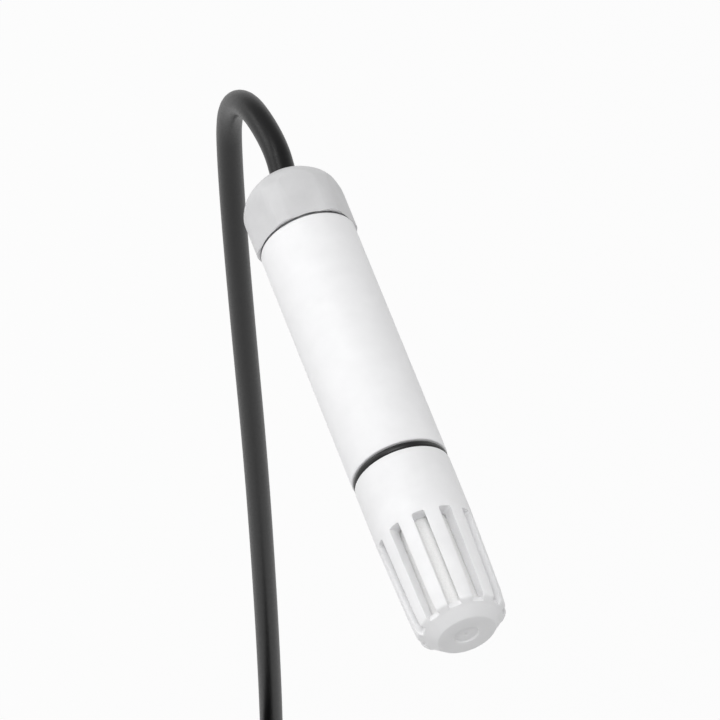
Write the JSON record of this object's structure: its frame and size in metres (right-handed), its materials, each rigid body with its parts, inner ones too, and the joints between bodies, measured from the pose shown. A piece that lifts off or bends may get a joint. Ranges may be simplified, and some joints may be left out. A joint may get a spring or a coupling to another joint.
{
  "type": "temperature humidity sensor",
  "caption": "Cylindrical temperature and humidity probe with a slotted screw-on filter cap, a gland nut and a black cable that ends in leads.",
  "frame": {"origin": "on the probe's axis, at the middle of the plain stretch of the body tube", "axes": "-Y points out of the slotted tip, the cable leaves towards +Y and hangs towards -Z"},
  "size_m": [0.0246, 0.1297, 0.2945],
  "materials": {
    "white_body": "moulded, satin",
    "white_cap": "moulded, satin",
    "white_nut": "moulded, satin",
    "porous_sleeve": "sintered, matt",
    "seal_rubber": "satin",
    "gland_rubber": "matt",
    "collet_plastic": "moulded",
    "washer_plastic": "smooth",
    "holder_plastic": "moulded",
    "board_green": "solder mask",
    "chip_black": "moulded",
    "sensor_case": "moulded, open window",
    "ceramic_tan": "fired ceramic with tinned ends",
    "resistor_black": "glazed with tinned ends",
    "tantalum_yellow": "moulded",
    "can_steel": "satin",
    "plated_pin": "gold plated",
    "solder": "bright solder",
    "jacket_black": "satin",
    "tie_black": "coated wire",
    "stop_nylon": "moulded",
    "shrink_black": "shrunk",
    "core_red": "smooth",
    "core_black": "smooth",
    "core_yellow": "smooth",
    "core_white": "smooth",
    "collar_grey": "moulded",
    "ferrule_tin": "tinned"
  },
  "bodies": {
    "housing": {"housing_tube": "white_body", "board_holder": "holder_plastic", "sensor_board": "board_green", "main_board": "board_green", "sensor_chip": "sensor_case", "sensor_capacitor": "ceramic_tan", "ceramic_capacitors": "ceramic_tan", "resistors": "resistor_black", "crystal": "can_steel", "microcontroller": "chip_black", "bus_transceiver": "chip_black", "voltage_regulator": "chip_black", "bulk_capacitor": "tantalum_yellow", "surge_diode": "chip_black", "link_pins": "plated_pin", "wire_supply": "core_red", "wire_ground": "core_black", "wire_data_a": "core_yellow", "wire_data_b": "core_white", "solder_joints": "solder", "cable_tail": "jacket_black", "cable_stop": "stop_nylon", "gland_seal": "gland_rubber", "gland_collet": "collet_plastic", "cable_free": "jacket_black", "cable_coil": "jacket_black", "coil_tie": "tie_black", "cable_end": "jacket_black", "end_sleeve": "shrink_black", "lead_supply": "core_red", "lead_ground": "core_black", "lead_data_a": "core_yellow", "lead_data_b": "core_white", "ferrule_collars": "collar_grey", "ferrule_pins": "ferrule_tin"},
    "sleeve": {"filter_sleeve": "porous_sleeve"},
    "seal_ring": {"o_ring": "seal_rubber"},
    "cap": {"filter_cap": "white_cap"},
    "washer": {"thrust_washer": "washer_plastic"},
    "nut": {"gland_nut": "white_nut"}
  },
  "joints": [
    {"name": "sleeve_pull", "type": "slide", "parent": "housing", "child": "sleeve", "axis": [0, -1, 0], "range_m": [0, 0.03]},
    {"name": "cap_advance", "type": "slide", "parent": "sleeve", "child": "seal_ring", "axis": [0, -1, 0], "range_m": [0, 0.006]},
    {"name": "cap_turn", "type": "hinge", "parent": "seal_ring", "child": "cap", "pos_m": [0, -0.03, 0], "axis": [0, -1, 0], "range_deg": [0, 1440]},
    {"name": "nut_advance", "type": "slide", "parent": "housing", "child": "washer", "axis": [0, 1, 0], "range_m": [0, 0.006]},
    {"name": "nut_turn", "type": "hinge", "parent": "washer", "child": "nut", "pos_m": [0, 0.03, 0], "axis": [0, 1, 0], "range_deg": [0, 1440]}
  ],
  "couplings": [
    {"joint": "cap_turn", "follows": "cap_advance", "rad_per_m": 4188.8},
    {"joint": "nut_turn", "follows": "nut_advance", "rad_per_m": 4188.8}
  ]
}
